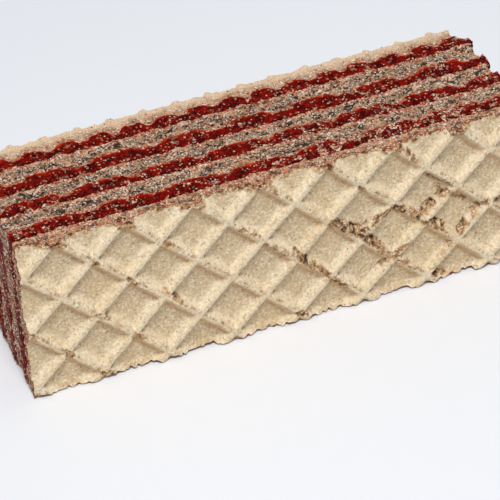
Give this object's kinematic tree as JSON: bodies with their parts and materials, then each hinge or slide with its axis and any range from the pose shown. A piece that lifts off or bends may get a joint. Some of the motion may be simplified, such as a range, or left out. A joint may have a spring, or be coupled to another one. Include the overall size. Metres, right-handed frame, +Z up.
{
  "type": "cream filled wafer",
  "caption": "Rectangular slice of thin crisp wafer sheets with layers of red cream between them, a diamond pattern on its front and a square pattern on its back.",
  "frame": {"origin": "middle of the long cut side that the wafer stands on", "axes": "+X along the wafer, +Y through its layers from the diamond patterned front to the square patterned back, +Z up"},
  "size_m": [0.0492, 0.0152, 0.0173],
  "materials": {
    "wafer": "dry, matt, finely porous baked wafer",
    "cream": "deep red fat based cream, dull where it is sawn"
  },
  "bodies": {
    "root": {"sheet_1": "wafer", "sheet_2": "wafer", "sheet_3": "wafer", "sheet_4": "wafer", "sheet_5": "wafer", "cream_1": "cream", "cream_2": "cream", "cream_3": "cream", "cream_4": "cream"}
  },
  "joints": []
}
